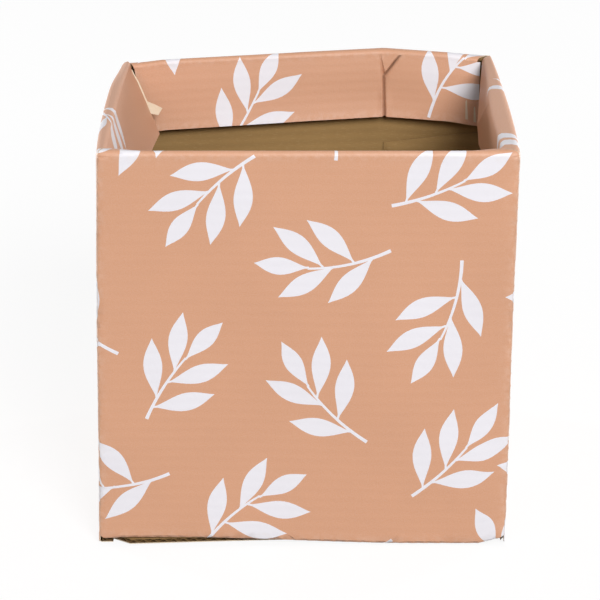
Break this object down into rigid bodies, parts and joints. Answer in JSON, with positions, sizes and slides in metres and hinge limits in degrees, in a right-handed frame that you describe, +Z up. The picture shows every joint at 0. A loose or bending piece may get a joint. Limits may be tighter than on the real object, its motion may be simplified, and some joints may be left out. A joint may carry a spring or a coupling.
{
  "type": "cardboard cachepot",
  "caption": "Square open-topped pot cover in printed corrugated board, with a double-creased rim, loose turned-in flaps and a self-locking folded base.",
  "frame": {"origin": "middle of the base, on the surface it stands on", "axes": "+Z up, -Y out of the front wall, +X to the right seen from the front"},
  "size_m": [0.14, 0.14, 0.14],
  "materials": {
    "printed_paper": "printed, satin",
    "fluting": "raw, matte",
    "kraft_liner": "raw kraft, matte"
  },
  "bodies": {
    "pot": {"front_wall_face": "printed_paper", "front_wall_flutes": "fluting", "front_wall_liner": "kraft_liner", "front_rim_face": "printed_paper", "front_rim_board": "kraft_liner", "front_base_flap_face": "printed_paper", "front_base_flap_flutes": "fluting", "front_base_flap_liner": "kraft_liner", "right_wall_face": "printed_paper", "right_wall_flutes": "fluting", "right_wall_liner": "kraft_liner", "right_rim_face": "printed_paper", "right_rim_board": "kraft_liner", "right_base_flap_face": "printed_paper", "right_base_flap_flutes": "fluting", "right_base_flap_liner": "kraft_liner", "right_glue_flap_face": "printed_paper", "right_glue_flap_flutes": "fluting", "right_glue_flap_liner": "kraft_liner", "back_wall_face": "printed_paper", "back_wall_flutes": "fluting", "back_wall_liner": "kraft_liner", "back_rim_face": "printed_paper", "back_rim_board": "kraft_liner", "back_base_flap_face": "printed_paper", "back_base_flap_flutes": "fluting", "back_base_flap_liner": "kraft_liner", "glue_tab_face": "printed_paper", "glue_tab_flutes": "fluting", "glue_tab_liner": "kraft_liner", "left_wall_face": "printed_paper", "left_wall_flutes": "fluting", "left_wall_liner": "kraft_liner", "left_rim_face": "printed_paper", "left_rim_board": "kraft_liner", "left_base_flap_face": "printed_paper", "left_base_flap_flutes": "fluting", "left_base_flap_liner": "kraft_liner", "left_glue_flap_face": "printed_paper", "left_glue_flap_flutes": "fluting", "left_glue_flap_liner": "kraft_liner"},
    "front_flap": {"front_flap_face": "printed_paper", "front_flap_flutes": "fluting", "front_flap_liner": "kraft_liner"},
    "right_flap": {"right_flap_face": "printed_paper", "right_flap_flutes": "fluting", "right_flap_liner": "kraft_liner"},
    "back_flap": {"back_flap_face": "printed_paper", "back_flap_flutes": "fluting", "back_flap_liner": "kraft_liner"},
    "left_flap": {"left_flap_face": "printed_paper", "left_flap_flutes": "fluting", "left_flap_liner": "kraft_liner"}
  },
  "joints": [
    {"name": "front_crease", "type": "hinge", "parent": "pot", "child": "front_flap", "pos_m": [0, -0.065, 0.1381], "axis": [1, 0, 0], "range_deg": [-6, 164], "stiffness_Nm_per_rad": 0.006},
    {"name": "right_crease", "type": "hinge", "parent": "pot", "child": "right_flap", "pos_m": [0.065, 0, 0.1381], "axis": [0, 1, 0], "range_deg": [-3, 167], "stiffness_Nm_per_rad": 0.006},
    {"name": "back_crease", "type": "hinge", "parent": "pot", "child": "back_flap", "pos_m": [0, 0.065, 0.1381], "axis": [-1, 0, 0], "range_deg": [-4, 166], "stiffness_Nm_per_rad": 0.006},
    {"name": "left_crease", "type": "hinge", "parent": "pot", "child": "left_flap", "pos_m": [-0.065, 0, 0.1381], "axis": [0, -1, 0], "range_deg": [-18, 152], "stiffness_Nm_per_rad": 0.006}
  ]
}
